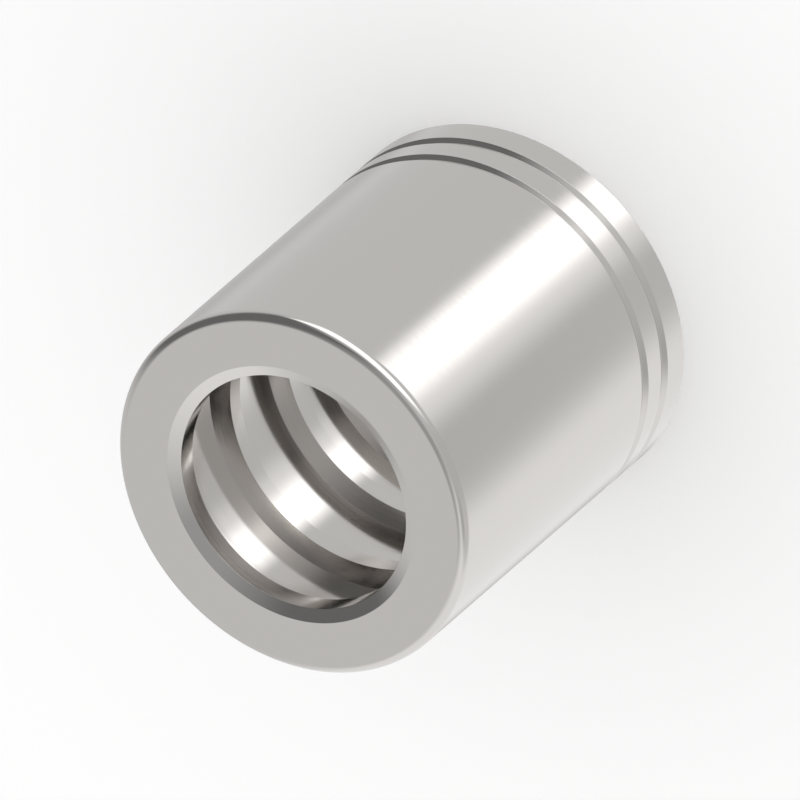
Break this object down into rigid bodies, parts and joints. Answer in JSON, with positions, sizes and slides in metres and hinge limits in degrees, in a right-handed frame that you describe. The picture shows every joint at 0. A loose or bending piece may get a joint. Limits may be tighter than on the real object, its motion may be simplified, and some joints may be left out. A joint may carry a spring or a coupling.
{
  "type": "crimp hose ferrule",
  "caption": "Turned metal crimp ferrule for a hydraulic hose: collar with a chamfered bore at one end, gripping ridges inside, and marking grooves outside near the hose end.",
  "frame": {"origin": "centre of the hose-end face, on which the ferrule stands", "axes": "+Z along the axis, from the hose end up to the collar end"},
  "size_m": [0.031, 0.031, 0.0337],
  "materials": {
    "turned_steel": "fine turned, bright, with a thin clear passivated plating"
  },
  "bodies": {
    "root": {"ferrule": "turned_steel"}
  },
  "joints": []
}
